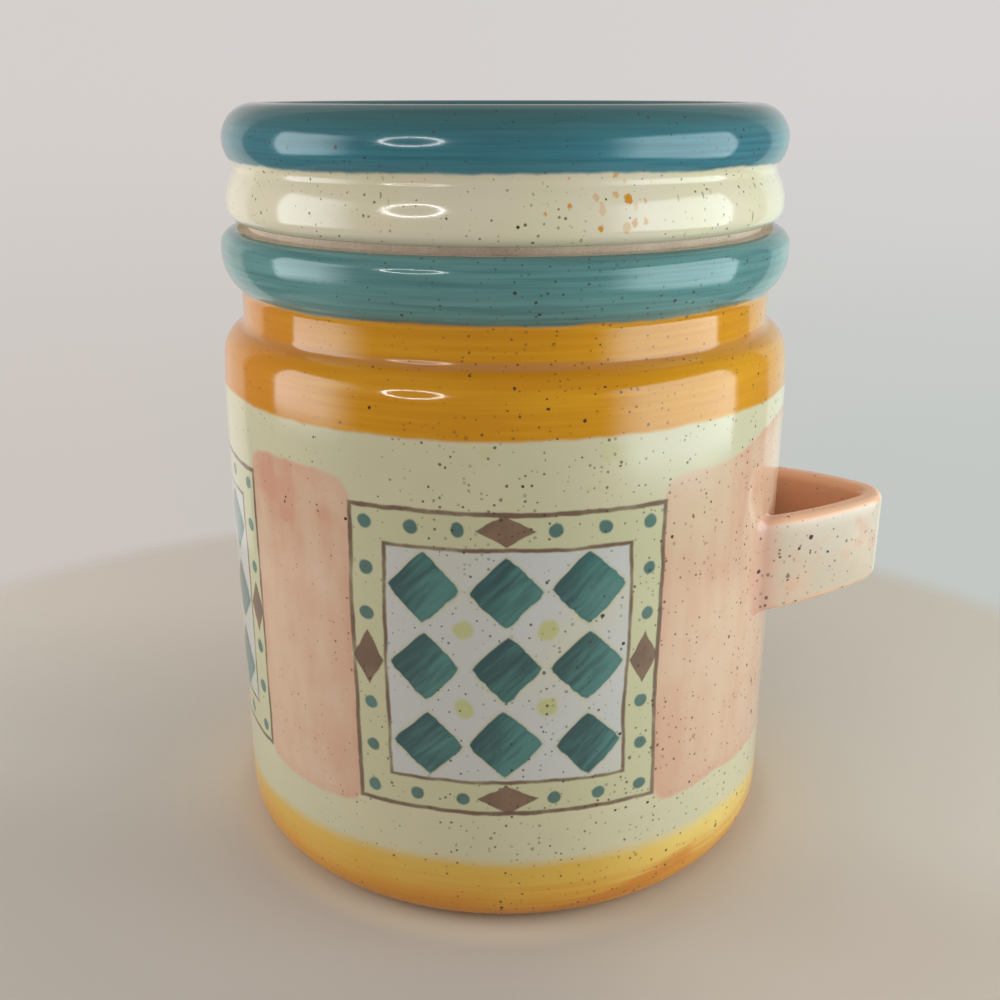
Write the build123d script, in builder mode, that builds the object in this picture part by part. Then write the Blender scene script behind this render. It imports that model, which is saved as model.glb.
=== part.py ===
from build123d import *
import os
from math import acos, cos, degrees, radians

# A lidded ceramic crock: a straight body with a necked, rolled rim, one strap handle
# luted to its side, and a lid of two rolls that rests loose on the rim.
# Millimetres, +Z up. The origin is the middle of the foot, on the surface that the
# crock stands on, and the handle is on +X.

# Crock body
body_radius = 80.0
rim_height = 175.5
wall_thickness = 6.5
floor_thickness = 6.5
floor_round = 9.0
base_round = 10.0
foot_ring_width = 8.0
foot_recess_depth = 1.5
foot_recess_slope = 2.0

# Rolled rim, from its flat top down to the neck, set in from the body
roll_inset = 2.0
roll_top_round = 4.0
roll_side_height = 2.0
roll_flank_round = 12.5
roll_under_round = 6.0

# Neck and shoulder, from the neck down to the straight body
neck_inset = 7.1
neck_side_height = 3.0
neck_round = 5.0
shoulder_round = 8.5
shoulder_lean = 0.8
shoulder_ease_round = 180.0

# Mouth, the straight bore that takes the lid's flange, and the hollow below it
neck_wall = 8.9
mouth_depth = 20.5
mouth_round = 3.0
inner_neck_round = 6.0
inner_shoulder_round = 10.0

# Lid's flange in the mouth, and its seat ring on the rim
lid_clearance = 1.2
flange_depth = 12.0
flange_thickness = 6.0
under_corner_round = 4.0
seat_height = 1.8
seat_slope = 0.8
shelf_width = 0.5

# Lid's two rolls and the waist between them, set in from the crock's roll
lower_roll_inset = 2.2
lower_roll_height = 13.9
lower_roll_round = 4.0
lower_roll_side_height = 1.2
waist_inset = 3.2
waist_round = 2.0
upper_roll_inset = 2.1
upper_roll_height = 16.0
upper_roll_round = 9.0

# Lid's sunken top
crest_inner_round = 4.0
dish_depth = 21.0
dish_corner_round = 8.0
plate_thickness = 6.5

# Strap handle, a loop whose broad face stands upright, raised and tapered from wall to tip
handle_drop = 24.7
handle_reach = 29.0
handle_tip_lift = 2.0
handle_tip_round = 11.8
handle_tip_half_angle = 47.0
handle_arm_round = 96.0
strap_thickness = 6.3
strap_root_height = 26.8
strap_tip_height = 25.0
strap_edge_round = 2.4
slip_round = 2.5
slip_sink = 0.8

down = (0, -1)
up = (0, 1)
inward = (-1, 0)
outward = (1, 0)
os.makedirs("parts", exist_ok=True)


def ogee_angle(step, first_round, second_round, lean=0.0):
    """Degrees turned by two opposite arcs that shift a wall by step, from a lean to upright."""
    reach = first_round * cos(radians(lean)) + second_round
    return degrees(acos((reach - step) / (first_round + second_round)))


# Crock body: one wall section turned about the upright axis
inner_radius = body_radius - wall_thickness
roll_radius = body_radius - roll_inset
neck_radius = body_radius - neck_inset
mouth_radius = neck_radius - neck_wall
foot_radius = body_radius - base_round
foot_inner_radius = foot_radius - foot_ring_width
floor_height = foot_recess_depth + floor_thickness
roll_angle = ogee_angle(roll_radius - neck_radius, roll_flank_round, roll_under_round)
lean_angle = degrees(acos(1 - shoulder_lean / shoulder_ease_round))
shoulder_angle = ogee_angle(neck_inset - shoulder_lean, shoulder_round, neck_round, lean_angle)
inner_angle = ogee_angle(inner_radius - mouth_radius, inner_neck_round, inner_shoulder_round)
rim_outer = (roll_radius - roll_top_round, rim_height)
rim_inner = (mouth_radius + mouth_round, rim_height)
recess_edge = (foot_inner_radius - foot_recess_slope, foot_recess_depth)
floor_edge = (inner_radius - floor_round, floor_height)

with BuildPart() as crock_body:
    with BuildSketch(Plane.XZ) as crock_section:
        with BuildLine() as crock_outline:
            Line(rim_inner, rim_outer)
            roll_top = JernArc(rim_outer, outward, roll_top_round, -90)
            roll_side = Line(roll_top @ 1, roll_top @ 1 + (0, -roll_side_height))
            roll_flank = JernArc(roll_side @ 1, down, roll_flank_round, -roll_angle)
            roll_under = JernArc(roll_flank @ 1, roll_flank % 1, roll_under_round, roll_angle)
            neck_side = Line(roll_under @ 1, roll_under @ 1 + (0, -neck_side_height))
            neck = JernArc(neck_side @ 1, down, neck_round, shoulder_angle)
            shoulder = JernArc(neck @ 1, neck % 1, shoulder_round, lean_angle - shoulder_angle)
            shoulder_ease = JernArc(shoulder @ 1, shoulder % 1, shoulder_ease_round, -lean_angle)
            body_side = Line(shoulder_ease @ 1, (body_radius, base_round))
            base_edge = JernArc(body_side @ 1, down, base_round, -90)
            Polyline(
                base_edge @ 1,
                (foot_inner_radius, 0),
                recess_edge,
                (0, foot_recess_depth),
                (0, floor_height),
                floor_edge,
            )
            floor_corner = JernArc(floor_edge, outward, floor_round, 90)
            mouth_edge = JernArc(rim_inner, inward, mouth_round, 90)
            mouth_side = Line(mouth_edge @ 1, (mouth_radius, rim_height - mouth_depth))
            inner_neck = JernArc(mouth_side @ 1, down, inner_neck_round, inner_angle)
            inner_shoulder = JernArc(inner_neck @ 1, inner_neck % 1, inner_shoulder_round, -inner_angle)
            Line(inner_shoulder @ 1, floor_corner @ 1)
        make_face()
    revolve(axis=Axis.Z)

crock_body.part.label = "crock_body"
export_step(crock_body.part, "parts/crock_body.step")

# Strap handle: the loop seen from above, trimmed to its side view, bonded to the wall with
# a bead of slip and cut to the wall's outer face
tip_x = body_radius + handle_reach
root_top = (body_side @ 0).Y - handle_drop
root_bottom = root_top - strap_root_height
tip_top = root_top + handle_tip_lift
tip_bottom = tip_top - strap_tip_height
axis_top = root_top - (tip_top - root_top) / handle_reach * body_radius
axis_bottom = root_bottom - (tip_bottom - root_bottom) / handle_reach * body_radius
core_bottom = axis_bottom - strap_root_height
core_height = tip_top + strap_root_height - core_bottom

with BuildPart() as strap_handle:
    with BuildSketch(Plane.XY.offset(axis_bottom)) as loop_plan:
        with BuildLine() as loop_outline:
            half_tip = JernArc((tip_x, 0), up, handle_tip_round, handle_tip_half_angle)
            arm = JernArc(half_tip @ 1, half_tip % 1, handle_arm_round, 90 - handle_tip_half_angle)
            Line(arm @ 1, ((arm @ 1).X, 0))
            mirror(about=Plane.XZ)
        make_face()
        offset(amount=-strap_thickness, mode=Mode.SUBTRACT)
    extrude(amount=tip_top - axis_bottom)
    with BuildSketch(Plane.XZ) as loop_side:
        with BuildLine() as side_outline:
            Polyline(
                (0, axis_top),
                (tip_x, tip_top),
                (tip_x, tip_bottom),
                (0, axis_bottom),
                close=True,
            )
        make_face()
    extrude(amount=tip_x, both=True, mode=Mode.INTERSECT)
    upright_edges = strap_handle.edges().filter_by(Axis.Z)
    fillet(strap_handle.edges() - upright_edges, radius=strap_edge_round)
    with BuildSketch(Plane.XY.offset(core_bottom)) as core_plan:
        Circle(body_radius - slip_sink)
    extrude(amount=core_height)
    fillet(strap_handle.edges(Select.NEW), radius=slip_round)
    with BuildSketch(Plane.XY.offset(core_bottom)) as wall_plan:
        Circle(body_radius)
    extrude(amount=core_height, mode=Mode.SUBTRACT)

strap_handle.part.label = "strap_handle"
export_step(strap_handle.part, "parts/strap_handle.step")

# Lid: one section turned about the same axis, with its flange in the mouth and its seat
# ring on the rim's flat top
roll_level = rim_height + seat_height
waist_level = roll_level + lower_roll_height
lid_top = waist_level + upper_roll_height
lower_roll_radius = roll_radius - lower_roll_inset
upper_roll_radius = roll_radius - upper_roll_inset
shelf_radius = lower_roll_radius - lower_roll_round
seat_radius = shelf_radius - shelf_width - seat_slope
flange_radius = mouth_radius - lid_clearance
flange_inner_radius = flange_radius - flange_thickness
flange_edge_round = flange_thickness / 2
flange_edge_level = rim_height - flange_depth + flange_edge_round
dish_radius = upper_roll_radius - upper_roll_round - crest_inner_round
dish_level = lid_top - dish_depth
plate_level = dish_level - plate_thickness
waist = (lower_roll_radius - waist_inset, waist_level)
shelf_edge = (shelf_radius, roll_level)
widest = (upper_roll_radius, lid_top - upper_roll_round)
under_edge = (flange_inner_radius - under_corner_round, plate_level)

with BuildPart() as lid:
    with BuildSketch(Plane.XZ) as lid_section:
        with BuildLine() as lid_outline:
            lower_roll = JernArc(shelf_edge, outward, lower_roll_round, 90)
            lower_side = Line(lower_roll @ 1, lower_roll @ 1 + (0, lower_roll_side_height))
            TangentArc(lower_side @ 1, waist, tangent=up)
            TangentArc(widest, waist, tangent=down)
            upper_roll = JernArc(widest, up, upper_roll_round, 90)
            crest = JernArc(upper_roll @ 1, inward, crest_inner_round, 90)
            dish_side = Line(crest @ 1, (dish_radius, dish_level + dish_corner_round))
            dish_corner = JernArc(dish_side @ 1, down, dish_corner_round, -90)
            Polyline(dish_corner @ 1, (0, dish_level), (0, plate_level), under_edge)
            under_corner = JernArc(under_edge, outward, under_corner_round, -90)
            flange_inside = Line(under_corner @ 1, (flange_inner_radius, flange_edge_level))
            flange_edge = JernArc(flange_inside @ 1, down, flange_edge_round, 180)
            Polyline(
                flange_edge @ 1,
                (flange_radius, rim_height),
                (seat_radius, rim_height),
                (seat_radius + seat_slope, roll_level),
                shelf_edge,
            )
        make_face()
        fillet(lid_section.vertices().sort_by_distance(waist)[0], waist_round)
    revolve(axis=Axis.Z)

lid.part.label = "lid"
export_step(lid.part, "parts/lid.step")
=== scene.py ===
from math import acos, atan2, copysign, cos, degrees, hypot, pi, radians, sin, sqrt
from types import SimpleNamespace

import bpy
from mathutils import Matrix, Vector


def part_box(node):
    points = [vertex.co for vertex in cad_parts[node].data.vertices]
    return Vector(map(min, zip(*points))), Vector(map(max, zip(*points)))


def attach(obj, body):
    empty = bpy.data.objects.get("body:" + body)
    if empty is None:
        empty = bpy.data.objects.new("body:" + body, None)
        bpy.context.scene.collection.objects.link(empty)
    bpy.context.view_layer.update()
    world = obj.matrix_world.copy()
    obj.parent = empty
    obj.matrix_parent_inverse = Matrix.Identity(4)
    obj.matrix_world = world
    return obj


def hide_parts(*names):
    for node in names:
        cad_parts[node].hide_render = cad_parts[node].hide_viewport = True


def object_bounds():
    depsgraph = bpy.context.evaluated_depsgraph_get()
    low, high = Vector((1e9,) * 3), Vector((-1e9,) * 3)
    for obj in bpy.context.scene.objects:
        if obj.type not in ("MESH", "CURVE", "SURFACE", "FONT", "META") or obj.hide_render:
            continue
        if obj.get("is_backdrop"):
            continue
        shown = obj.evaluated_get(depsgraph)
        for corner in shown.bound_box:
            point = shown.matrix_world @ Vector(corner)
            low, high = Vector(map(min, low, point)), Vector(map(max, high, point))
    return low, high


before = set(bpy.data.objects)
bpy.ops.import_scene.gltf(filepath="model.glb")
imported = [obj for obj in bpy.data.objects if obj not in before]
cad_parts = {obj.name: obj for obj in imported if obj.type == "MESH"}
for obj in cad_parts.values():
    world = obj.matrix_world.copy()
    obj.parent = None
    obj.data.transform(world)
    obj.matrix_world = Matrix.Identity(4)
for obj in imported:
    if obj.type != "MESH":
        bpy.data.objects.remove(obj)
cad_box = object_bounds()

# A lidded ceramic crock in painted, speckled glaze. Metres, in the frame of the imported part:
# +Z up, the origin in the middle of the foot, the handle on +X.

# Sizes that the frame gives
_, crock_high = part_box("crock_body")
_, lid_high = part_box("lid")
handle_low, handle_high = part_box("strap_handle")
body_radius = crock_high.y
rim_height = crock_high.z
lid_top = lid_high.z
tip_x = handle_high.x

# Crock section. Its neck is up to half a millimetre straighter than the solid's, as the
# reflections in the photograph show it.
wall_thickness = 0.0065
floor_thickness = 0.0065
floor_round = 0.009
base_round = 0.010
foot_ring_width = 0.008
foot_recess_depth = 0.0015
foot_recess_slope = 0.002
roll_inset = 0.002
roll_top_round = 0.004
roll_side_height = 0.002
roll_flank_round = 0.0125
roll_under_round = 0.003
neck_inset = 0.00665
neck_side_height = 0.0063
neck_round = 0.003
shoulder_round = 0.0085
shoulder_lean = 0.0008
shoulder_ease_round = 0.180
neck_wall = 0.00935
mouth_depth = 0.0205
mouth_round = 0.003
inner_neck_round = 0.006
inner_shoulder_round = 0.010

# Lid section
lid_clearance = 0.0012
flange_depth = 0.012
flange_thickness = 0.006
under_corner_round = 0.004
seat_height = 0.0018
seat_slope = 0.0008
shelf_width = 0.0005
lower_roll_inset = 0.0022
lower_roll_height = 0.0139
lower_roll_round = 0.004
lower_roll_side_height = 0.0012
waist_inset = 0.0032
waist_round = 0.002
upper_roll_inset = 0.0021
upper_roll_round = 0.009
crest_inner_round = 0.004
dish_depth = 0.021
dish_corner_round = 0.008
plate_thickness = 0.0065

# Strap handle
handle_tip_round = 0.0118
handle_tip_half_angle = 47.0
handle_arm_round = 0.096
handle_tip_lift = 0.002
strap_thickness = 0.0063
strap_root_height = 0.0268
strap_tip_height = 0.025
strap_edge_round = 0.0024
slip_round = 0.0025
slip_sink = 0.0008
root_depth = 0.0006

# Unevenness of a hand-turned wall, as the depths of its waves
oval_depth = 0.00007
drift_depth = 0.00004
ring_depth = 0.000012

# Fineness of the meshes
lathe_segments = 216
arc_step = 7.0
run_step = 0.0032
sharp_angle = radians(38)
strap_edge_steps = 6
strap_face_steps = 8
strap_tip_steps = 14
strap_arm_steps = 18
strap_root_steps = 16
strap_root_run = 0.006
search_halvings = 40
table_segments = 160

# Share of the handle's map for baking that each of its two ends takes
end_map_share = 0.05

# Levels and bearings of the painted bands and panels. A bearing is in degrees round the
# axis, from -Y towards the handle, and the front is the side that the camera looks at.
front_bearing = 11.0
rim_paint_low = 0.1600
shoulder_paint_low = 0.1349
foot_paint_top = 0.0215
foot_paint_dip = 0.0042
lid_paint_low = 0.1930
neck_low = 0.1506
seat_ring_radius = 0.0734
front_panel_bearing = 11.5
panel_spacing = 84.0
panel_half_angle = 29.0
panel_low = 0.0354
panel_high = 0.1181
panel_border = 0.0098
frame_line = 0.0010
frame_line_inset = 0.0008
lozenge_columns = 3
lozenge_rows = 3
border_dots = 3
smudge_low = 0.1141
smudge_high = 0.1241
wash_low = 0.0325
wash_high = 0.1245
wash_climb = 0.006
wash_overlap = 0.0016
wash_corner = 0.012
wash_roam = 0.008
watery_bearing = 48.0
watery_low = 0.088
watery_high = 0.116
foot_stroke_low = 0.0030
foot_stroke_high = 0.0115
spatter_low = 0.1775
spatter_high = 0.1805
spatter_inner = 0.066
spatter_outer = 0.069
dish_paint_inner = 0.0535
dish_paint_outer = 0.0555
handle_loop_middle = 0.004
glaze_relief = 0.00009
glaze_ior = 1.52

# Camera, as the photograph was taken
camera_distance = 0.3315
camera_height = 0.2097
camera_pitch = 19.41
camera_yaw = 0.2375
focal_share = 1.1579
sensor_width = 36.0

# Table top and light
table_middle = (-0.0070, -0.0517)
table_radius = 0.2994
table_edge = 0.026
panel_end_fade = 0.07
fill_share = 0.83


# Section outlines

class Pen:
    """Draws an outline of (radius, height) points, one straight run or arc after another."""

    def __init__(self, radius, height, heading):
        self.points = [(radius, height)]
        self.heading = heading

    def run_to(self, radius, height):
        """A straight run to a point."""
        from_radius, from_height = self.points[-1]
        out, up = radius - from_radius, height - from_height
        steps = max(1, round(hypot(out, up) / run_step))
        for step in range(1, steps + 1):
            share = step / steps
            self.points.append((from_radius + out * share, from_height + up * share))
        self.heading = degrees(atan2(up, out))

    def run(self, length):
        """A straight run of this length, on the present heading."""
        from_radius, from_height = self.points[-1]
        turn = radians(self.heading)
        self.run_to(from_radius + length * cos(turn), from_height + length * sin(turn))

    def arc(self, radius, turn):
        """An arc tangent to the present heading, through these degrees, to the left if above 0."""
        from_radius, from_height = self.points[-1]
        normal = radians(self.heading + copysign(90, turn))
        middle = (from_radius + radius * cos(normal), from_height + radius * sin(normal))
        steps = max(2, round(abs(turn) / arc_step))
        for step in range(1, steps + 1):
            angle = normal + pi + radians(turn) * step / steps
            self.points.append((middle[0] + radius * cos(angle), middle[1] + radius * sin(angle)))
        self.heading += turn

    def mark(self):
        """The number of the latest point."""
        return len(self.points) - 1


def ogee_angle(step, first_round, second_round, lean=0.0):
    """Degrees turned by two opposite arcs that shift a wall by step, from a lean to upright."""
    reach = first_round * cos(radians(lean)) + second_round
    return degrees(acos((reach - step) / (first_round + second_round)))


def waist_turns(out, up, first_round, second_round):
    """Degrees that two bulging arcs turn beside their round, with middles out and up apart."""
    apart = hypot(out, up)
    first = first_round + waist_round
    second = second_round + waist_round
    slope = degrees(atan2(up, out))
    near = degrees(acos((first ** 2 + apart ** 2 - second ** 2) / (2 * first * apart)))
    far = degrees(acos((second ** 2 + apart ** 2 - first ** 2) / (2 * second * apart)))
    return slope - near, 180 - slope - far


roll_radius = body_radius - roll_inset
neck_radius = body_radius - neck_inset
mouth_radius = neck_radius - neck_wall
inner_radius = body_radius - wall_thickness
degree_width = radians(body_radius)
panel_half_width = panel_half_angle * degree_width
panel_half_height = (panel_high - panel_low) / 2
field_width = 2 * (panel_half_width - panel_border)
field_height = 2 * (panel_half_height - panel_border)


def crock_outline():
    """The crock's section from the middle of its underside, over the rim, to the middle of its
    floor, and the numbers of the points where its finish changes."""
    foot_inner = body_radius - base_round - foot_ring_width
    floor_height = foot_recess_depth + floor_thickness
    roll_angle = ogee_angle(roll_radius - neck_radius, roll_flank_round, roll_under_round)
    lean = degrees(acos(1 - shoulder_lean / shoulder_ease_round))
    shoulder_angle = ogee_angle(neck_inset - shoulder_lean, shoulder_round, neck_round, lean)
    inner_angle = ogee_angle(inner_radius - mouth_radius, inner_neck_round, inner_shoulder_round)

    outside = Pen(seat_ring_radius, rim_height, 0)
    outside.run_to(roll_radius - roll_top_round, rim_height)
    outside.arc(roll_top_round, -90)
    outside.run(roll_side_height)
    outside.arc(roll_flank_round, -roll_angle)
    outside.arc(roll_under_round, roll_angle)
    outside.run(neck_side_height)
    outside.arc(neck_round, shoulder_angle)
    outside.arc(shoulder_round, lean - shoulder_angle)
    outside.arc(shoulder_ease_round, -lean)
    outside.run_to(body_radius, base_round)
    outside.arc(base_round, -90)
    foot_edge = outside.mark()
    outside.run_to(foot_inner, 0)
    outside.run_to(foot_inner - foot_recess_slope, foot_recess_depth)
    foot_end = outside.mark()
    outside.run_to(0, foot_recess_depth)

    inside = Pen(seat_ring_radius, rim_height, 180)
    inside.run_to(mouth_radius + mouth_round, rim_height)
    seat_end = inside.mark()
    inside.arc(mouth_round, 90)
    inside.run_to(mouth_radius, rim_height - mouth_depth)
    inside.arc(inner_neck_round, inner_angle)
    inside.arc(inner_shoulder_round, -inner_angle)
    inside.run_to(inner_radius, floor_height + floor_round)
    inside.arc(floor_round, -90)
    inside.run_to(0, floor_height)

    last = outside.mark()
    changes = [last - foot_end, last - foot_edge, last, last + seat_end]
    return outside.points[::-1] + inside.points[1:], changes


def lid_outline():
    """The lid's section from the middle of its underside, round the flange and the two rolls, to
    the middle of its dish, and the numbers of the points where its finish changes."""
    roll_level = rim_height + seat_height
    waist_level = roll_level + lower_roll_height
    lower_radius = roll_radius - lower_roll_inset
    upper_radius = roll_radius - upper_roll_inset
    shelf_radius = lower_radius - lower_roll_round
    seat_radius = shelf_radius - shelf_width - seat_slope
    flange_radius = mouth_radius - lid_clearance
    flange_inner = flange_radius - flange_thickness
    flange_round = flange_thickness / 2
    dish_radius = upper_radius - upper_roll_round - crest_inner_round
    dish_level = lid_top - dish_depth
    plate_level = dish_level - plate_thickness
    lower_side_top = roll_level + lower_roll_round + lower_roll_side_height
    widest_level = lid_top - upper_roll_round
    waist_radius = lower_radius - waist_inset

    def bulge(radius, level):
        """The radius of the arc that leaves this upright point and meets the waist."""
        step = radius - waist_radius
        return (step ** 2 + (waist_level - level) ** 2) / (2 * step)

    lower_bulge = bulge(lower_radius, lower_side_top)
    upper_bulge = bulge(upper_radius, widest_level)
    out = (upper_radius - upper_bulge) - (lower_radius - lower_bulge)
    up = widest_level - lower_side_top
    lower_turn, upper_turn = waist_turns(out, up, lower_bulge, upper_bulge)

    pen = Pen(0, plate_level, 0)
    pen.run_to(flange_inner - under_corner_round, plate_level)
    pen.arc(under_corner_round, -90)
    pen.run_to(flange_inner, rim_height - flange_depth + flange_round)
    flange_start = pen.mark()
    pen.arc(flange_round, 180)
    pen.run_to(flange_radius, rim_height)
    pen.run_to(seat_radius, rim_height)
    pen.run_to(seat_radius + seat_slope, roll_level)
    pen.run_to(shelf_radius, roll_level)
    shelf_end = pen.mark()
    pen.arc(lower_roll_round, 90)
    pen.run(lower_roll_side_height)
    pen.arc(lower_bulge, lower_turn)
    pen.arc(waist_round, -lower_turn - upper_turn)
    pen.arc(upper_bulge, upper_turn)
    pen.arc(upper_roll_round, 90)
    pen.arc(crest_inner_round, 90)
    pen.run_to(dish_radius, dish_level + dish_corner_round)
    pen.arc(dish_corner_round, -90)
    pen.run_to(0, dish_level)
    return pen.points, [flange_start, shelf_end]


# Meshes

def hand_wobble(angle, height):
    """How far a thrown wall stands in from a true circle, in metres."""
    oval = 1 + cos(2 * angle + 0.7 + 6 * height)
    drift = 1 + cos(3 * angle - 1.1 + 23 * height)
    rings = 1 + cos(870 * height + 0.6 * sin(angle))
    return oval_depth * oval + drift_depth * drift + ring_depth * rings


def new_object(name, data):
    """An object with this data, in the scene."""
    made = bpy.data.objects.new(name, data)
    bpy.context.scene.collection.objects.link(made)
    return made


def ring_faces(count, levels):
    """Faces that join rings of this count of points between two hubs, and their corners on a map for
    baking, where hubs and rings have these levels."""
    faces = []
    corners = []
    last = 1 + (len(levels) - 2) * count
    for span, (bottom, top) in enumerate(zip(levels, levels[1:])):
        low = 1 + (span - 1) * count
        high = low + count
        for number in range(count):
            after = (number + 1) % count
            left, right = number / count, (number + 1) / count
            middle = (number + 0.5) / count
            if span == 0:
                faces.append((0, high + after, high + number))
                corners += [(middle, bottom), (right, top), (left, top)]
            elif high == last:
                faces.append((low + number, low + after, last))
                corners += [(left, bottom), (right, bottom), (middle, top)]
            else:
                faces.append((low + number, low + after, high + after, high + number))
                corners += [(left, bottom), (right, bottom), (right, top), (left, top)]
    return faces, corners


def ringed_piece(name, rings, hubs, levels, finishes, materials):
    """A smooth piece of rings of points with a hub at each end, and a map of its own for baking. The
    finishes are the numbers of its materials from ring to ring."""
    count = len(rings[0])
    points = [hubs[0], *(point for ring in rings for point in ring), hubs[1]]
    faces, corners = ring_faces(count, levels)
    mesh = bpy.data.meshes.new(name)
    mesh.from_pydata(points, [], faces)
    layer = mesh.uv_layers.new(name="OFBake")
    layer.uv.foreach_set("vector", [number for corner in corners for number in corner])
    for material in materials:
        mesh.materials.append(material)
    mesh.polygons.foreach_set("material_index", [finish for finish in finishes for _ in range(count)])
    mesh.shade_smooth()
    mesh.set_sharp_from_angle(angle=sharp_angle)
    mesh.validate()
    return new_object(name, mesh)


def turned_piece(name, outline, changes, finishes, materials):
    """A piece turned about the upright axis from an outline that starts and ends on the axis. Its
    finish changes at the points with these numbers."""
    lengths = [0.0]
    for (r0, z0), (r1, z1) in zip(outline, outline[1:]):
        lengths.append(lengths[-1] + hypot(r1 - r0, z1 - z0))
    rings = []
    for radius, height in outline[1:-1]:
        ring = []
        for number in range(lathe_segments):
            angle = 2 * pi * number / lathe_segments
            reach = radius - hand_wobble(angle, height)
            ring.append((reach * cos(angle), reach * sin(angle), height))
        rings.append(ring)
    hubs = [(0.0, 0.0, outline[end][1]) for end in (0, -1)]
    levels = [length / lengths[-1] for length in lengths]
    spans = range(len(outline) - 1)
    span_finishes = [finishes[sum(span >= change for change in changes)] for span in spans]
    return ringed_piece(name, rings, hubs, levels, span_finishes, materials)


def strap_section():
    """The strap's section, once round, as (depth from the outer face, share of the height, rise past
    that share, direction out)."""
    edge = strap_edge_round
    section = []
    for corner, (depth, share) in enumerate((
        (edge, 1.0),
        (strap_thickness - edge, 1.0),
        (strap_thickness - edge, 0.0),
        (edge, 0.0),
    )):
        for step in range(strap_edge_steps + 1):
            angle = pi - (corner + step / strap_edge_steps) * pi / 2
            side = (cos(angle), sin(angle))
            section.append((depth + edge * side[0], share, edge * side[1], side))
        if corner % 2:
            for step in range(1, strap_face_steps):
                rise = step / strap_face_steps
                outer_face = (0.0, rise, 0.0, (-1.0, 0.0))
                inner_face = (strap_thickness, 1 - rise, 0.0, (1.0, 0.0))
                section.append(outer_face if corner == 3 else inner_face)
    return section


def slip_flare(gap):
    """How far the slip stands off the strap at this distance from the surface it is laid on."""
    rest = slip_round - min(max(gap, 0.0), slip_round)
    return slip_round - sqrt(slip_round ** 2 - rest ** 2)


def first_past(low, high, past):
    """The number between low and high where past turns from false to true."""
    for _ in range(search_halvings):
        middle = (low + high) / 2
        if past(middle):
            high = middle
        else:
            low = middle
    return low


def strap_rail(depth, share, rise, side):
    """Points along the strap from its tip to the wall, at one place in its section."""
    half_tip = radians(handle_tip_half_angle)
    tip_middle = tip_x - handle_tip_round
    arm_step = handle_tip_round - handle_arm_round
    arm_middle = (tip_middle + arm_step * cos(half_tip), arm_step * sin(half_tip))
    handle_reach = tip_x - body_radius
    top_slope = handle_tip_lift / handle_reach
    tip_top = handle_high.z + top_slope * strap_edge_round
    tip_bottom = tip_top - strap_tip_height
    bottom_slope = (handle_tip_lift + strap_root_height - strap_tip_height) / handle_reach

    def plan(angle, deep):
        """The place seen from above where the strap's face looks along this angle."""
        on_tip = angle <= half_tip
        reach = (handle_tip_round if on_tip else handle_arm_round) - deep
        middle = (tip_middle, 0.0) if on_tip else arm_middle
        return middle[0] + reach * cos(angle), middle[1] + reach * sin(angle)

    def slipped(angle):
        """The place seen from above and the slip's thickness there."""
        def enough(flare):
            gap = hypot(*plan(angle, depth + side[0] * flare)) - body_radius + slip_sink
            return flare >= slip_flare(gap)

        flare = 0.0 if enough(0.0) else first_past(0.0, slip_round, enough)
        x, y = plan(angle, depth + side[0] * flare)
        return x, y, flare

    def in_wall(angle):
        x, y, _ = slipped(angle)
        return hypot(x, y) < body_radius - root_depth

    last = first_past(half_tip, pi / 2, in_wall)
    root = strap_root_run / handle_arm_round
    arm = last - root - half_tip
    angles = [half_tip * step / strap_tip_steps for step in range(strap_tip_steps)]
    angles += [half_tip + arm * step / strap_arm_steps for step in range(strap_arm_steps)]
    angles += [last - root * (1 - step / strap_root_steps) for step in range(strap_root_steps + 1)]
    points = []
    for angle in angles:
        x, y, flare = slipped(angle)
        top = tip_top - top_slope * (tip_x - x) - strap_edge_round
        bottom = tip_bottom - bottom_slope * (tip_x - x) + strap_edge_round
        points.append((x, y, bottom + share * (top - bottom) + rise + side[1] * flare))
    return points


def strap_piece(name, material):
    """The strap handle: rails from root to root, in the order that turns its faces outward, with both
    roots closed inside the wall."""
    rails = []
    for place in strap_section():
        half = strap_rail(*place)
        rails.append(half[::-1] + [(x, -y, z) for x, y, z in half[1:]])
    rings = list(zip(*rails))
    hubs = [[sum(axis) / len(rails) for axis in zip(*rings[end])] for end in (0, -1)]
    last = len(rings) - 1
    levels = [end_map_share + (1 - 2 * end_map_share) * step / last for step in range(last + 1)]
    return ringed_piece(name, rings, hubs, [0.0, *levels, 1.0], [0] * (last + 2), [material])


# Node graphs for the glazes

def screen(red, green, blue):
    """A colour given in screen bytes, as the linear numbers that a shader takes."""
    def linear(byte):
        share = byte / 255
        return share / 12.92 if share <= 0.04045 else ((share + 0.055) / 1.055) ** 2.4

    return linear(red), linear(green), linear(blue), 1.0


class Wire:
    """A number or colour inside a graph, for sums with other wires and with plain numbers."""

    def __init__(self, graph, socket):
        self.graph = graph
        self.socket = socket

    def __add__(self, other):
        return self.graph.math("ADD", self, other)

    __radd__ = __add__

    def __sub__(self, other):
        return self.graph.math("SUBTRACT", self, other)

    def __rsub__(self, other):
        return self.graph.math("SUBTRACT", other, self)

    def __mul__(self, other):
        return self.graph.math("MULTIPLY", self, other)

    __rmul__ = __mul__

    def __truediv__(self, other):
        return self.graph.math("DIVIDE", self, other)

    def __neg__(self):
        return self.graph.math("MULTIPLY", self, -1.0)

    def __abs__(self):
        return self.graph.math("ABSOLUTE", self)


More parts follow.
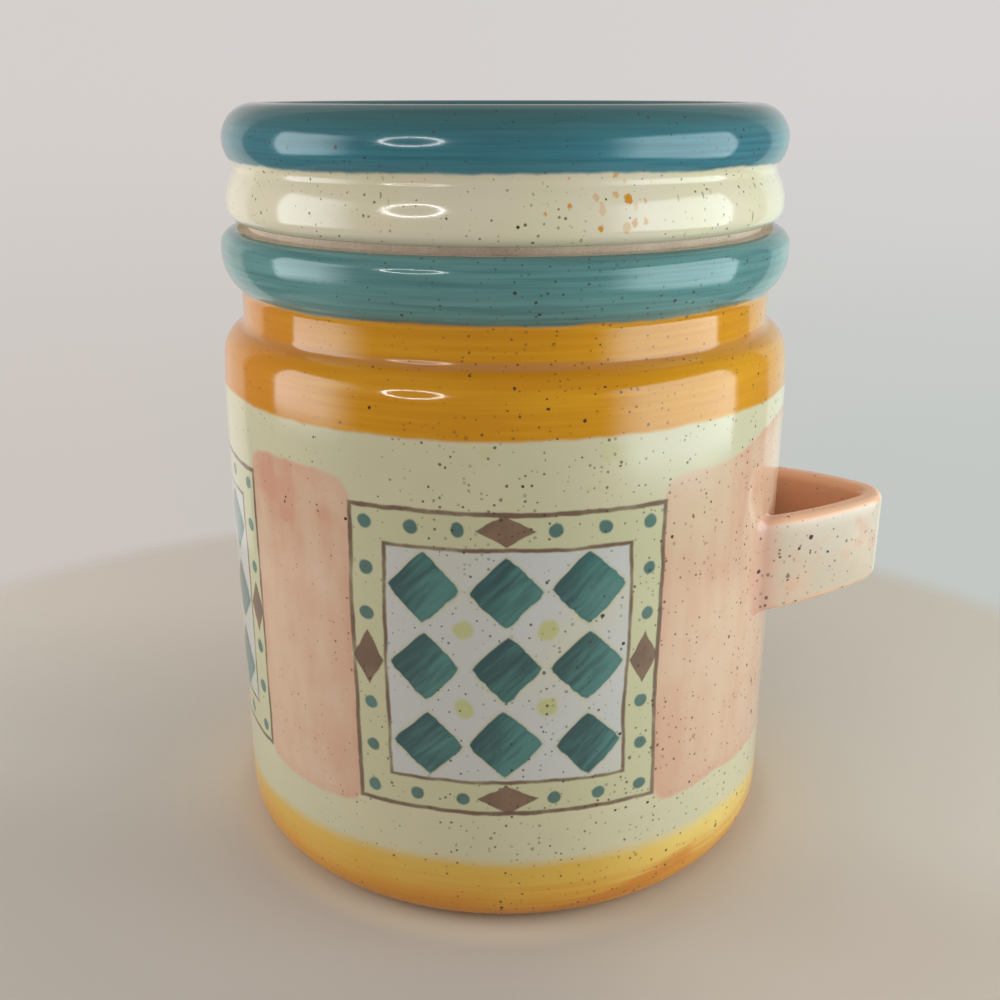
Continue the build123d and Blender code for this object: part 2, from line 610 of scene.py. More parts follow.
class Graph:
    """The nodes of a material, a lamp or the world, with short ways to join them."""

    def __init__(self, name, owner=None, shader="Principled BSDF"):
        self.material = owner or bpy.data.materials.new(name)
        self.material.use_nodes = True
        self.tree = self.material.node_tree
        self.shader = self.tree.nodes[shader]
        where = self.node("ShaderNodeTexCoord").outputs
        kinds = ("Generated", "Object", "Normal")
        self.generated, self.place, self.facing = [Wire(self, where[kind]) for kind in kinds]

    def node(self, kind, inputs=None, **settings):
        """A new node with these settings, whose inputs take these values."""
        made = self.tree.nodes.new(kind)
        for key, value in settings.items():
            setattr(made, key, value)
        for key, value in (inputs or {}).items():
            self.feed(made.inputs[key], value)
        return made

    def result(self, kind, output, inputs, **settings):
        """One output of a new node."""
        return Wire(self, self.node(kind, inputs, **settings).outputs[output])

    def feed(self, socket, value):
        """Sets a socket to a number or colour, or joins a wire to it."""
        if isinstance(value, Wire):
            self.tree.links.new(value.socket, socket)
        else:
            socket.default_value = value

    def math(self, operation, *values):
        return self.result("ShaderNodeMath", 0, dict(enumerate(values)), operation=operation)

    def hypot(self, x, y):
        """The length of a step of x and y."""
        return self.math("SQRT", x * x + y * y)

    def bearing(self, x, y):
        """Degrees round the axis, from -Y towards +X."""
        return self.math("DEGREES", self.math("ARCTAN2", x, -y))

    def split(self, vector):
        """A vector's three numbers."""
        made = self.node("ShaderNodeSeparateXYZ", {0: vector})
        return [Wire(self, socket) for socket in made.outputs]

    def ramp(self, value, low, high, start=0.0, end=1.0):
        """start where value is at low, end where it is at high, with a smooth step between."""
        entries = {"Value": value, "From Min": low, "From Max": high, "To Min": start, "To Max": end}
        return self.result("ShaderNodeMapRange", "Result", entries, interpolation_type="SMOOTHSTEP")

    def stretched(self, size, seed, stretch):
        """The place, in units of size, drawn out along each axis by stretch."""
        scale = [1 / (size * share) for share in stretch]
        shift = (seed * 3.7, seed * 1.9, seed * 5.3)
        entries = {"Vector": self.place, "Location": shift, "Scale": scale}
        return self.result("ShaderNodeMapping", "Vector", entries)

    def noise_over(self, place, detail, roughness=0.5):
        """Noise from 0 to 1 over a place that is given in units of its lumps."""
        entries = {"Vector": place, "Scale": 1.0, "Detail": detail, "Roughness": roughness}
        return self.result("ShaderNodeTexNoise", 0, entries)

    def noise(self, size, seed, stretch=(1, 1, 1), detail=2.0, roughness=0.5):
        """Noise from 0 to 1 with lumps of about this size."""
        return self.noise_over(self.stretched(size, seed, stretch), detail, roughness)

    def specks(self, spacing, largest, share, seed, crowd=1.0, stretch=(1, 1, 1)):
        """Scattered dots of uneven strength, one at most in each cell of this spacing, in this share
        of the cells. The crowd scales their sizes."""
        place = self.stretched(spacing, seed, stretch)
        cells = self.node("ShaderNodeTexVoronoi", {"Vector": place, "Scale": 1.0})
        chances = self.node("ShaderNodeSeparateColor", {0: Wire(self, cells.outputs["Color"])})
        reach = largest / spacing
        size = self.ramp(Wire(self, chances.outputs[0]), 1 - share, 1.0, 0.0, reach) * crowd
        ragged = (self.noise(0.0005, seed + 0.5, detail=1.0) - 0.5) * (0.8 * reach)
        inside = size - Wire(self, cells.outputs["Distance"])
        strength = self.ramp(Wire(self, chances.outputs[1]), 0.1, 0.9, 0.35, 1.0)
        return self.ramp(inside + ragged, 0.0, 0.3 * reach) * strength

    def chance(self, number):
        """A number from 0 to 1 that looks random and is fixed for each whole number."""
        whole = {"W": self.math("ROUND", number)}
        return self.result("ShaderNodeTexWhiteNoise", "Value", whole, noise_dimensions="1D")

    def blend(self, under, over, amount):
        """One colour laid over another."""
        return self.result("ShaderNodeMix", 2, {0: amount, 6: under, 7: over}, data_type="RGBA")

    def iron_spots(self, colour, seed, crowd, size=1.0):
        """Fine dark specks all over, some larger ones and a few blots."""
        for step, (spacing, largest, share, strength) in enumerate((
            (0.0014, 0.00035, 0.7, 0.78),
            (0.0026, 0.00045, 0.6, 0.95),
            (0.0078, 0.00066, 0.5, 1.0),
        )):
            spots = self.specks(spacing, largest * size, share, seed + step, crowd)
            colour = self.blend(colour, iron, spots * strength)
        return colour

    def relief(self, height, depth):
        """Bump whose height runs from 0 to 1 over this depth in metres."""
        entries = {"Strength": 1.0, "Distance": depth, "Height": height}
        self.feed(self.shader.inputs["Normal"], self.result("ShaderNodeBump", "Normal", entries))

    def finish(self, colour, roughness):
        """The material, once its shader has a colour and a roughness."""
        self.feed(self.shader.inputs["Base Color"], colour)
        self.feed(self.shader.inputs["Roughness"], roughness)
        return self.material


# Glaze colours
cream = screen(192, 184, 152)
cream_warm = screen(198, 188, 154)
moss = screen(176, 172, 92)
wash_pale = screen(205, 170, 143)
wash_deep = screen(196, 138, 112)
amber = screen(196, 130, 8)
amber_pale = screen(204, 143, 18)
amber_deep = screen(178, 112, 8)
amber_burnt = screen(194, 116, 10)
mauve = screen(178, 118, 62)
rim_teal = screen(98, 144, 140)
rim_teal_deep = screen(53, 95, 97)
lid_teal = screen(60, 122, 133)
lid_teal_deep = screen(34, 79, 91)
lid_teal_grey = screen(62, 96, 94)
lid_cream = screen(212, 200, 174)
lid_cream_shade = screen(206, 198, 158)
ochre = screen(200, 136, 42)
olive = screen(104, 92, 58)
iron = screen(54, 44, 36)
panel_ground = screen(188, 185, 182)
panel_edge = screen(188, 182, 146)
panel_teal = screen(36, 72, 74)
panel_teal_pale = screen(70, 118, 112)
panel_brown = screen(104, 78, 62)
panel_brown_pale = screen(136, 104, 84)
foot_yellow = screen(206, 163, 62)
foot_amber = screen(200, 124, 2)
foot_pale = screen(222, 190, 100)
foot_burnt = screen(190, 108, 6)
handle_cream = screen(197, 181, 158)
handle_pale = screen(207, 192, 171)
handle_salmon = screen(240, 182, 142)
handle_pink = screen(206, 152, 128)
liner_cream = screen(214, 206, 184)
clay = screen(220, 204, 184)
clay_dark = screen(164, 132, 106)

# Stage colours, some as a left and a right one. Several of the table's are painted light and shade.
table_deep = screen(195, 185, 173)
table_pale = screen(201, 192, 180)
table_right = screen(212, 202, 187)
table_back_left = screen(218, 206, 193)
table_glow = screen(212, 198, 177)
table_front = screen(186, 174, 163), screen(198, 184, 170)
table_contact = screen(203, 190, 168)
wall_low = screen(203, 196, 191), screen(195, 200, 196)
wall_high = screen(213, 207, 204), screen(214, 211, 210)
side_walls = screen(240, 236, 230), screen(232, 246, 240)
dim_room = screen(140, 136, 132)


def glaze_coat(g, colour, seed, dullness=0.0):
    """The glassy coat that all glazes share, with soft ripples. Dullness adds to its roughness."""
    ripple = g.noise(0.011, seed, detail=1.0)
    orange_peel = g.noise(0.0016, seed + 1, detail=1.0)
    g.relief(ripple * 0.8 + orange_peel * 0.06, glaze_relief)
    gloss = g.ramp(g.noise(0.02, seed + 2), 0.3, 0.7, 0.07 + dullness, 0.12 + dullness)
    g.shader.inputs["IOR"].default_value = glaze_ior
    return g.finish(colour, gloss)


def crock_places(g):
    """Where a place lies in the crock's paintwork, and the unevenness that its coats share."""
    x, y, z = g.split(g.place)
    bearing = g.bearing(x, y)
    from_front = g.math("RADIANS", bearing - front_bearing)
    ahead = g.math("COSINE", from_front)
    aside = g.math("SINE", from_front)
    roam = g.noise(0.07, 0.5) - 0.5
    sway = g.noise(0.034, 1.0) - 0.5
    sway_across = g.noise(0.034, 2.0) - 0.5
    tremble = g.noise(0.005, 3.0) - 0.5
    tremble_across = g.noise(0.005, 4.0) - 0.5
    brush = g.noise(0.0011, 5.0, stretch=(34, 34, 1), detail=3.0)
    patch = g.noise(0.026, 6.0, detail=3.0)
    dabs = g.noise(0.009, 7.0, detail=3.0)
    level = z + sway * 0.0024 + tremble * 0.0008

    # The nearest panel's number, the place on it from its middle, and the depth inside its edge
    turn = g.math("WRAP", bearing - (front_panel_bearing - panel_spacing), 180, -180)
    panel = g.math("ROUND", turn / panel_spacing)
    panel = g.math("MAXIMUM", g.math("MINIMUM", panel, 1.0), -1.0)
    across = (turn - panel * panel_spacing) * degree_width
    across = across + sway_across * 0.003 + tremble_across * 0.0006
    upright = level - (panel_low + panel_high) / 2
    side_gap = abs(across) - panel_half_width
    inside = -g.math("MAXIMUM", side_gap, abs(upright) - panel_half_height)
    field_inside = inside - panel_border

    # The column and row in its field, the brush stroke there, and the depth inside the lozenge
    column = across / field_width * lozenge_columns + 0.5 * lozenge_columns
    row = upright / field_height * lozenge_rows + 0.5 * lozenge_rows
    cell = g.math("FLOOR", column) + g.math("FLOOR", row) * 7.0 + panel * 61.0
    own = g.chance(cell)
    column_place = g.math("FRACT", column) - 0.5 + (own - 0.5) * 0.05
    row_place = g.math("FRACT", row) - 0.5 + (g.chance(cell + 500.0) - 0.5) * 0.05
    off_middle = g.math("SMOOTH_MAX", abs(column_place), 0.0, 0.18)
    off_middle = off_middle + g.math("SMOOTH_MAX", abs(row_place), 0.0, 0.18)
    stroke_along = (across + upright) / 0.017 + panel * 5.0
    stroke_across = (across - upright) / 0.0022 + own * 9.0
    stroke_place = g.result("ShaderNodeCombineXYZ", 0, {0: stroke_along, 1: stroke_across, 2: 9.0})
    stroke = g.noise_over(stroke_place, detail=3.0)
    ragged = tremble * 0.05 + sway * 0.06 + (stroke - 0.5) * 0.05
    lozenge = 0.46 + own * 0.04 - off_middle + ragged
    in_field = g.ramp(field_inside, 0.0003, 0.0009)
    in_lozenge = g.ramp(lozenge, 0.0, 0.035) * in_field
    return SimpleNamespace(**locals())


def cream_ground(g, at):
    """Cream, with smudges of moss above the panels."""
    colour = g.blend(cream, cream_warm, g.ramp(at.patch, 0.35, 0.7))
    smudge = g.ramp(at.dabs, 0.58, 0.78) * g.ramp(at.z, smudge_low, smudge_high)
    return g.blend(colour, moss, smudge * 0.35)


def pink_washes(g, at, colour):
    """Pink between the panels, deeper where the brush was loaded or the colour pooled."""
    climb = g.ramp(abs(at.bearing - 90), 40, 10, 0.0, wash_climb)
    ends = g.math("SMOOTH_MIN", wash_high + climb - at.level, at.level - wash_low, 0.002)
    ends = ends + at.roam * wash_roam
    inside = g.math("SMOOTH_MIN", at.side_gap + wash_overlap, ends, wash_corner)
    drawn = g.noise(0.008, 8.0, stretch=(1, 1, 4), detail=3.0)
    loaded = g.ramp(at.level, wash_high - 0.036, wash_high - 0.008)
    veil = g.ramp(drawn + at.patch * 0.9, 0.72, 1.25) * (0.50 + loaded * 0.35)
    pooled = g.ramp(inside, 0.0048, 0.0010) * 0.22
    blotch = g.ramp(at.dabs + at.roam * 0.6, 0.50, 0.72) * (0.12 + loaded * 0.24)
    strength = g.math("MINIMUM", veil + pooled + blotch, 1.0)
    watery = g.ramp(abs(at.bearing - watery_bearing), 14, 5) * g.ramp(at.z, watery_low, watery_high)
    tone = g.blend(wash_pale, wash_deep, strength * (1 - watery * 0.7))
    wash = g.ramp(inside + at.dabs * 0.0012, 0.0002, 0.0016)
    return g.blend(colour, tone, wash * (0.9 - watery * 0.2))


def panel_field(g, at, colour):
    """The panel's pale border, and the field inside it."""
    colour = g.blend(colour, panel_edge, g.ramp(at.inside, 0.0002, 0.0008))
    tone = g.blend(panel_ground, cream, g.ramp(at.patch, 0.45, 0.75) * 0.5)
    return g.blend(colour, tone, g.ramp(at.field_inside, 0.0, 0.0008) * 0.92)


def lozenges(g, at, colour):
    """Teal lozenges in rows, each shaded across by one loaded stroke of the brush."""
    slant = at.column_place * (0.6 + at.own * 0.5) - at.row_place * 0.45
    tone = g.ramp(at.stroke * 1.3 + slant + at.own * 0.25, 0.40, 1.25)
    teal = g.blend(panel_teal, panel_teal_pale, tone)
    teal = g.blend(teal, panel_teal, g.ramp(at.lozenge, 0.07, 0.0) * 0.35)
    halo = g.ramp(at.lozenge + at.sway * 0.08, -0.05, -0.01) * at.in_field
    colour = g.blend(colour, moss, halo * 0.25)
    return g.blend(colour, teal, at.in_lozenge * 0.97)


def moss_dabs(g, at, colour):
    """A pale dab in each space between four lozenges."""
    off_column = abs(g.math("FRACT", at.column + 0.5) - 0.5) * (field_width / lozenge_columns)
    off_row = abs(g.math("FRACT", at.row + 0.5) - 0.5) * (field_height / lozenge_rows)
    gap = g.hypot(off_column, off_row)
    dab = g.ramp(gap + at.tremble * 0.003, 0.0032, 0.0018) * g.ramp(at.field_inside, 0.004, 0.006)
    return g.blend(colour, moss, dab * 0.7)


def to_dots(g, along, off_line, reach):
    """The distance to the nearest of the dots that divide this reach of a side."""
    pitch = reach / border_dots
    step = (g.math("FRACT", along / pitch + 0.5) - 0.5) * pitch
    return g.hypot(step, off_line)


def border_motifs(g, at, colour):
    """Teal dots along the middle of the border, and a brown lozenge halfway along each side."""
    off_row = abs(at.upright) - panel_half_height + panel_border / 2
    off_column = at.side_gap + panel_border / 2
    row_dots = to_dots(g, at.across, off_row, panel_half_width - panel_border / 2)
    column_dots = to_dots(g, at.upright, off_column, panel_half_height - panel_border / 2)
    to_dot = g.math("MINIMUM", row_dots, column_dots) + at.tremble * 0.0010 + at.sway * 0.0008
    dot = g.ramp(to_dot, 0.0021, 0.0015) * g.ramp(at.inside, 0.0, 0.0006)
    colour = g.blend(colour, g.blend(panel_teal, panel_teal_pale, at.dabs), dot * 0.9)
    row_lozenge = abs(off_row) * 1.25 + abs(at.across) * 0.7
    column_lozenge = abs(off_column) * 1.25 + abs(at.upright) * 0.7
    to_lozenge = g.math("MINIMUM", row_lozenge, column_lozenge)
    to_lozenge = to_lozenge + at.tremble * 0.0016 + (at.dabs - 0.5) * 0.0016
    tone = g.blend(panel_brown, panel_brown_pale, g.ramp(at.dabs, 0.35, 0.7) * 0.5)
    colour = g.blend(colour, panel_edge, g.ramp(to_lozenge, 0.0066, 0.0060))
    return g.blend(colour, tone, g.ramp(to_lozenge, 0.0056, 0.0050) * 0.95)


def frame_lines(g, at, colour):
    """Brown lines round the panel and its field, thin and uneven."""
    def line_at(gap, width):
        off = abs(gap) - width * (0.5 + 0.45 * (at.dabs - 0.5))
        return g.ramp(off, 0.0004, -0.0002)

    outer = line_at(at.inside - frame_line_inset, frame_line)
    inner = line_at(at.field_inside, frame_line * 0.8)
    lines = g.math("MAXIMUM", outer, inner)
    return g.blend(colour, panel_brown, lines * g.ramp(at.dabs, 0.2, 0.6, 0.6, 0.95))


def foot_band(g, at, colour):
    """A yellow foot, amber at its edge, paler on the right, with one deeper stroke that climbs to the
    right.
    """
    top = foot_paint_top - foot_paint_dip + foot_paint_dip * at.ahead
    foot = g.ramp(at.level + (at.brush - 0.5) * 0.002 - top, 0.0022, -0.0030)
    low = g.ramp(at.z + (at.brush - 0.5) * 0.010 + (at.patch - 0.5) * 0.012, 0.018, 0.004)
    # Paler on the right, partly paler paint and partly painted light
    right = g.ramp(at.aside, sin(radians(14)), sin(radians(44)))
    tone = g.blend(g.blend(foot_yellow, foot_pale, right), foot_amber, low)
    level = g.ramp(at.bearing, 12, 54, foot_stroke_low, foot_stroke_high)
    off_stroke = abs(at.z - level) + (at.brush - 0.5) * 0.004
    span = g.ramp(at.bearing, 4, 24) * g.ramp(at.bearing, 54, 49)
    tone = g.blend(tone, foot_burnt, g.ramp(off_stroke, 0.0036, 0.0010) * span * 0.7)
    return g.blend(colour, tone, foot * 0.96)


def shoulder_band(g, at, colour):
    """Amber, more orange on the left, with a line of painted reflection in the groove of the neck,
    pinkish brown.
    """
    tone = g.blend(amber_pale, amber, g.ramp(at.brush + at.patch * 0.5, 0.5, 0.9))
    tone = g.blend(tone, amber_deep, g.ramp(at.brush, 0.6, 0.85) * 0.35)
    # More orange on the left side
    tone = g.blend(tone, amber_burnt, g.ramp(at.aside, -sin(radians(30)), -sin(radians(55)), 0.0, 0.6))
    # Painted reflection: a pinkish-brown line along the groove of the neck
    groove = g.ramp(abs(at.z - neck_low), 0.0016, 0.0003) * g.ramp(at.patch, 0.3, 0.6, 0.4, 0.8)
    tone = g.blend(tone, mauve, groove)
    edge = g.ramp(at.level, shoulder_paint_low - 0.0006, shoulder_paint_low + 0.0006)
    return g.blend(colour, tone, edge)


def rim_band(g, at, colour):
    """Teal on the rolled rim, streaked by the brush."""
    deep = g.ramp(at.brush + at.patch * 0.3, 0.3, 1.15) * 0.9
    edge = g.ramp(at.level, rim_paint_low - 0.0006, rim_paint_low + 0.0006)
    return g.blend(colour, g.blend(rim_teal, rim_teal_deep, deep), edge)


def crock_specks(g, at, colour):
    """A few ochre flecks, and iron specks, smaller on the left, the amber, the rim and the lozenges."""
    colour = g.blend(colour, ochre, g.specks(0.016, 0.0011, 0.5, 10.0, stretch=(1, 1, 1.5)))
    crowd = g.ramp(at.patch, 0.3, 0.7, 0.85, 1.12) * g.ramp(at.aside, -0.7, 0.1, 0.76, 1.12)
    crowd = crowd * g.ramp(at.z, 0.117, 0.124, 1.0, 1.03) * g.ramp(at.z, 0.010, 0.020, 1.08, 1.15)
    crowd = crowd * g.ramp(at.z, shoulder_paint_low, shoulder_paint_low + 0.004, 1.0, 0.92)
    return g.iron_spots(colour, 11.0, crowd * (1 - at.in_lozenge * 0.3))


def crock_glaze():
    """The painted outside of the crock, one coat over another."""
    g = Graph("crock_glaze")
    at = crock_places(g)
    colour = cream_ground(g, at)
    panel_coats = (pink_washes, panel_field, lozenges, moss_dabs, border_motifs, frame_lines)
    for coat in (*panel_coats, foot_band, shoulder_band, rim_band, crock_specks):
        colour = coat(g, at, colour)
    return glaze_coat(g, colour, 20.0)


def lid_glaze():
    """The painted outside of the lid: a cream roll with ochre spatter, a teal roll, a cream dish."""
    g = Graph("lid_glaze")
    x, y, z = g.split(g.place)
    radius = g.hypot(x, y)
    bearing = g.bearing(x, y)
    sway = g.noise(0.03, 31.0) - 0.5
    tremble = g.noise(0.005, 32.0) - 0.5
    brush = g.noise(0.0009, 33.0, stretch=(40, 40, 1), detail=3.0)
    patch = g.noise(0.024, 34.0, detail=3.0)
    dabs = g.noise(0.008, 35.0, detail=3.0)
    level = z + sway * 0.0018 + tremble * 0.0007

    colour = g.blend(lid_cream, lid_cream_shade, g.ramp(patch, 0.4, 0.75) * 0.6)
    right_spatter = g.ramp(abs(bearing - front_bearing - 20), 9, 3)
    left_spatter = g.ramp(abs(bearing - front_bearing - 8), 7, 2, 0.0, 0.8)
    on_roll = g.ramp(radius, spatter_inner, spatter_outer) * g.ramp(z, spatter_low, spatter_high)
    spatter = g.math("MAXIMUM", right_spatter, left_spatter) * on_roll
    spots = g.specks(0.0023, 0.0012, 0.9, 36.4, spatter, stretch=(1, 1, 1.3))
    colour = g.blend(colour, ochre, spots)
    streaks = g.specks(0.0042, 0.0012, 0.5, 37.0, g.ramp(patch, 0.35, 0.6), stretch=(0.4, 0.4, 1.7))
    colour = g.blend(colour, olive, streaks * 0.6)

    teal = g.blend(lid_teal, lid_teal_deep, g.ramp(brush + patch * 0.3, 0.25, 1.2) * 0.9)
    teal = g.blend(teal, lid_teal_grey, g.ramp(z + (dabs - 0.5) * 0.003, 0.198, 0.206) * 0.7)
    dish = g.ramp(radius, dish_paint_outer, dish_paint_inner)
    upper = g.ramp(level, lid_paint_low - 0.0005, lid_paint_low + 0.0005)
    colour = g.blend(colour, teal, upper * (1 - dish))

    colour = g.iron_spots(colour, 38.0, g.ramp(patch, 0.35, 0.65, 0.75, 1.25))
    return glaze_coat(g, colour, 40.0)


def handle_glaze():
    """The handle: a pale wash on its broad face, salmon where it thins at edges and inside, pink dabs,
    and pink painted shade where its roots meet the wall."""
    g = Graph("handle_glaze")
    x, y, z = g.split(g.place)
    facing_x, facing_y, facing_z = g.split(g.facing)
    patch = g.noise(0.016, 51.0, detail=3.0)
    dabs = g.noise(0.006, 52.0, detail=3.0)
    from_wall = g.hypot(x, y) - body_radius
    rise = (z - handle_low.z) / (handle_high.z - handle_low.z)
    # Paler higher up and further from the wall
    thick = g.ramp(rise + from_wall * 20.0 + (dabs - 0.5) * 0.6, 0.6, 1.2)
    thick = thick * g.ramp(patch, 0.3, 0.6, 0.5, 1.0)
    colour = g.blend(handle_cream, handle_pale, thick)
    colour = g.blend(colour, handle_pink, g.ramp(dabs, 0.5, 0.75) * 0.45)
    edge = g.ramp(abs(facing_z) + (dabs - 0.5) * 0.4, 0.10, 0.55)
    loop_middle = body_radius + handle_loop_middle
    within = g.ramp(facing_x * (x - loop_middle) + facing_y * y, 0.001, -0.004)
    thin = g.math("MINIMUM", edge * 0.75 + within * 0.8 + g.ramp(patch, 0.45, 0.8) * 0.3, 1.0)
    colour = g.blend(colour, handle_salmon, thin)
    # Painted shade, pink, in the fold where the roots meet the wall
    crease = g.ramp(from_wall + (dabs - 0.5) * 0.003, 0.0062, 0.0012) * 0.75
    colour = g.blend(colour, handle_pink, crease * (1 - within))
    crowd = g.ramp(from_wall + rise * 0.012, 0.004, 0.026, 1.3, 1.0)
    crowd = crowd * g.ramp(patch, 0.3, 0.6, 0.85, 1.1)
    colour = g.iron_spots(colour, 53.0, crowd * (1 - within * 0.4), 1.2)
    return glaze_coat(g, colour, 60.0, 0.14)


def liner_glaze():
    """The plain cream glaze inside the crock, under the lid and in the foot's recess."""
    g = Graph("liner_glaze")
    patch = g.noise(0.03, 71.0, detail=3.0)
    rings = g.noise(0.004, 72.0, stretch=(20, 20, 1))
    colour = g.blend(liner_cream, cream_warm, g.ramp(patch + rings * 0.5, 0.5, 1.1) * 0.6)
    colour = g.iron_spots(colour, 73.0, g.ramp(patch, 0.3, 0.6, 0.7, 1.0))
    return glaze_coat(g, colour, 80.0)


def bare_clay():
    """Fired clay where the glaze was wiped off so that the pieces didn't stick in the kiln."""
    g = Graph("bare_clay")
    grain = g.noise(0.0007, 91.0, detail=4.0, roughness=0.7)
    patch = g.noise(0.012, 92.0, detail=3.0)
    colour = g.blend(clay, clay_dark, g.ramp(grain * 0.7 + patch * 0.5, 0.45, 0.9) * 0.6)
    colour = g.blend(colour, iron, g.specks(0.0035, 0.0007, 0.5, 93.0) * 0.6)
    g.relief(grain, 0.00012)
    return g.finish(colour, g.ramp(grain, 0.3, 0.7, 0.62, 0.82))


# The object's pieces
liner = liner_glaze()
bare = bare_clay()
painted, lined, wiped = range(3)

crock_points, crock_changes = crock_outline()
crock = turned_piece(
    "crock", crock_points, crock_changes, [lined, wiped, painted, wiped, lined],
    [crock_glaze(), liner, bare],
)
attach(crock, "crock")
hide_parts("crock_body")

handle = strap_piece("handle", handle_glaze())
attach(handle, "crock")
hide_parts("strap_handle")

lid_points, lid_changes = lid_outline()
lid = turned_piece(
    "crock_lid", lid_points, lid_changes, [lined, wiped, painted],
    [lid_glaze(), liner, bare],
)
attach(lid, "lid")
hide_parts("lid")


# Stage: a round pale table top, soft panels at both sides, a ring lamp and a plain wall

def around(bearing, distance, height):
    """A place at this bearing in degrees from the axis."""
    turn = radians(bearing)
    return Vector((sin(turn) * distance, -cos(turn) * distance, height))


def table_colour(g, x, y):
    """Painted light and shade on a plain top: paler at the right, at the back on the left and round the
    crock, deeper towards the front.
    """
    turn = radians(front_bearing)
    from_axis = g.hypot(x, y)
    to_front = x * sin(turn) - y * cos(turn)
    to_right = x * cos(turn) + y * sin(turn)
    colour = g.blend(table_deep, table_pale, g.noise(0.09, 101.0, detail=3.0))
    # Painted light: paler on the right, and at the back on the left
    colour = g.blend(colour, table_right, g.ramp(to_right, 0.02, 0.16))
    back_left = g.ramp(to_front, -0.01, -0.14) * g.ramp(to_right, 0.03, -0.09)
    colour = g.blend(colour, table_back_left, back_left)
    # Painted glow of warm light on the table round the crock
    colour = g.blend(colour, table_glow, g.ramp(from_axis, 0.120, 0.078) * 0.8)
    # Painted shade, deeper towards the front
    front = g.blend(*table_front, g.ramp(to_right, 0.0, 0.06))
    colour = g.blend(colour, front, g.ramp(to_front - to_right * 0.15, 0.010, 0.075))
    # Painted light close round the base, lifting the shade where the crock stands
    return g.blend(colour, table_contact, g.ramp(from_axis, 0.088, 0.081))


def table_top():
    """A round table top whose edge fades into the wall."""
    g = Graph("table_top")
    x, y, _ = g.split(g.place)
    grain = g.noise(0.003, 102.0, detail=2.0)
    g.relief(grain, 0.00004)
    to_edge = table_radius - g.hypot(x - table_middle[0], y - table_middle[1])
    g.feed(g.shader.inputs["Alpha"], g.ramp(to_edge, 0.0, table_edge))
    material = g.finish(table_colour(g, x, y), g.ramp(grain, 0.3, 0.7, 0.45, 0.55))
    middle = Vector((*table_middle, 0.0))
    bearings = [360 * number / table_segments for number in range(table_segments)]
    ring = [middle + around(bearing, table_radius, 0) for bearing in bearings]
    mesh = bpy.data.meshes.new("table_top")
    mesh.from_pydata(ring, [], [tuple(range(table_segments))])
    mesh.materials.append(material)
    floor = new_object("table_top", mesh)
    floor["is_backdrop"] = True


def soft_panel(name, bearing, distance, level, size, fades, tint, brightness, mirrored):
    """A panel that faces the axis, and shows in the glaze where mirrored. The fades are the widths of
    its dimmer left and right sides."""
    width, height = size
    lamp = bpy.data.lights.new(name, "AREA")
    lamp.shape = "RECTANGLE"
    lamp.size, lamp.size_y = size
    lamp.color = tint
    lamp.energy = brightness * pi * width * height
    g = Graph(name, lamp, "Emission")
    u, v, _ = g.split(Wire(g, g.node("ShaderNodeNewGeometry").outputs["Parametric"]))
    from_end = (0.5 - abs(v - 0.5)) * height
    strength = g.ramp(u * width, 0.0, fades[0]) * g.ramp((1 - u) * width, 0.0, fades[1])
    g.feed(g.shader.inputs["Strength"], strength * g.ramp(from_end, 0.0, panel_end_fade))
    panel = new_object(name, lamp)
    panel.location = around(bearing, distance, level)
    inward = -around(bearing, 1.0, 0)
    panel.rotation_euler = inward.to_track_quat("-Z", "Y").to_euler()
    panel.visible_glossy = mirrored


def ring_lamp(bearing, distance, height, radius, tube, brightness):
    """A glowing ring that faces the crock. It shows in the glaze and not to the camera."""
    g = Graph("ring_lamp")
    glow = g.result("ShaderNodeEmission", 0, {"Strength": brightness})
    g.feed(g.tree.nodes["Material Output"].inputs["Surface"], glow)
    bpy.ops.mesh.primitive_torus_add(
        major_radius=radius, minor_radius=tube, major_segments=96, minor_segments=10,
        location=around(bearing, distance, height),
        rotation=around(bearing, 1.0, 0).to_track_quat("Z", "Y").to_euler(),
    )
    ring = bpy.context.object
    ring.name = "ring_lamp"
    ring.data.materials.append(g.material)
    ring.visible_camera = False
    ring.visible_diffuse = False
    ring.visible_shadow = False
    ring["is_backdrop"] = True


def mirrored_room(g, wall, right, behind, rise):
    """What the glaze reflects: a wall, brighter walls beside it, a dim room in front and above."""
    bright = g.blend(wall, g.blend(*side_walls, right), g.ramp(behind, 0.95, 0.80))
    in_front = g.ramp(behind, 0.600, 0.565)
    overhead = g.ramp(rise, 0.10, 0.50, 0.0, 0.75)
    return g.blend(bright, dim_room, g.math("MAXIMUM", in_front, overhead))


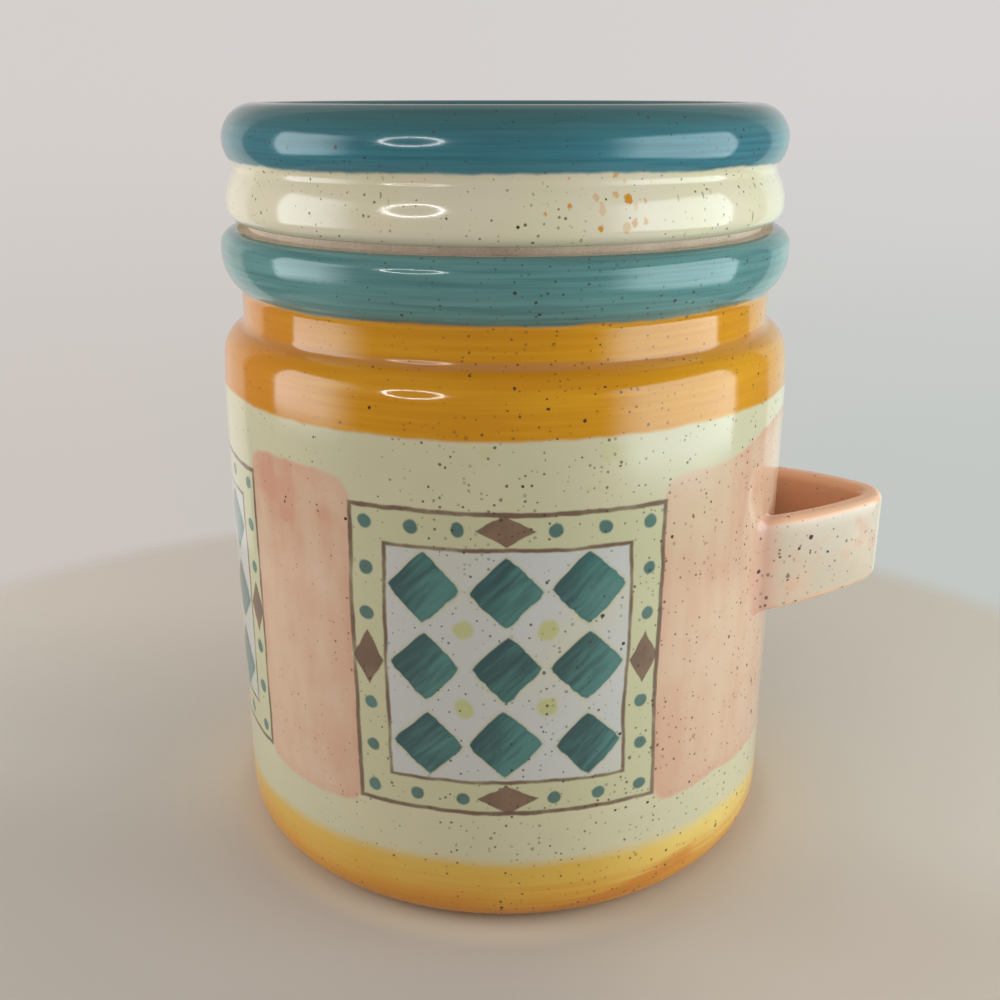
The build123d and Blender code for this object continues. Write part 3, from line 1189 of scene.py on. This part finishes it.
def surroundings():
    """A pale wall all round, darker low down and cooler on the right, that lights less than it shows.
    The glaze reflects a room in its place."""
    world = bpy.data.worlds.new("surroundings")
    bpy.context.scene.world = world
    g = Graph("surroundings", world, "Background")
    x, y, z = g.split(g.generated)
    turn = radians(front_bearing)
    across = x * cos(turn) + y * sin(turn)
    behind = y * cos(turn) - x * sin(turn) - across * 0.025
    right = g.ramp(across, -0.35, 0.40)
    low, high = g.blend(*wall_low, right), g.blend(*wall_high, right)
    wall = g.blend(low, high, g.ramp(z, -0.32, 0.02))
    path = g.node("ShaderNodeLightPath")
    kinds = ("Is Camera Ray", "Is Glossy Ray", "Is Transmission Ray")
    to_camera, mirrored, through = [Wire(g, path.outputs[kind]) for kind in kinds]
    in_glaze = mirrored_room(g, wall, right, behind, z)
    g.feed(g.shader.inputs["Color"], g.blend(wall, in_glaze, mirrored))
    seen = g.math("MAXIMUM", g.math("MAXIMUM", to_camera, mirrored), through)
    g.feed(g.shader.inputs["Strength"], seen * (1 - fill_share) + fill_share)


def photo_camera():
    """The camera, where the photograph was taken from."""
    data = bpy.data.cameras.new("camera")
    data.sensor_width = sensor_width
    data.lens = focal_share * sensor_width
    data.clip_start = 0.01
    camera = new_object("camera", data)
    place = around(front_bearing, camera_distance, camera_height)
    turn = Matrix.Rotation(radians(front_bearing + camera_yaw), 4, "Z")
    tilt = Matrix.Rotation(radians(90 - camera_pitch), 4, "X")
    camera.matrix_world = Matrix.Translation(place) @ turn @ tilt
    bpy.context.scene.camera = camera


table_top()
for name, turn, distance, level, size, fades, tint, brightness, mirrored in (
    ("left_panel", -72.8, 0.50, 0.223, (0.40, 0.42), (0.03, 0.20), (0.84, 0.96, 1.0), 4.0, True),
    ("right_panel", 64.5, 0.50, 0.195, (0.60, 0.49), (0.20, 0.03), (0.80, 0.95, 1.0), 3.95, True),
    ("left_fill", -95, 0.70, 0.20, (0.6, 0.6), (0.07, 0.07), (0.95, 0.99, 1.0), 1.1, False),
):
    soft_panel(name, front_bearing + turn, distance, level, size, fades, tint, brightness, mirrored)
ring_lamp(front_bearing - 33, distance=0.50, height=0.33, radius=0.10, tube=0.006, brightness=24.0)
surroundings()
photo_camera()
bpy.context.scene.view_settings.view_transform = "Standard"

visual_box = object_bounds()
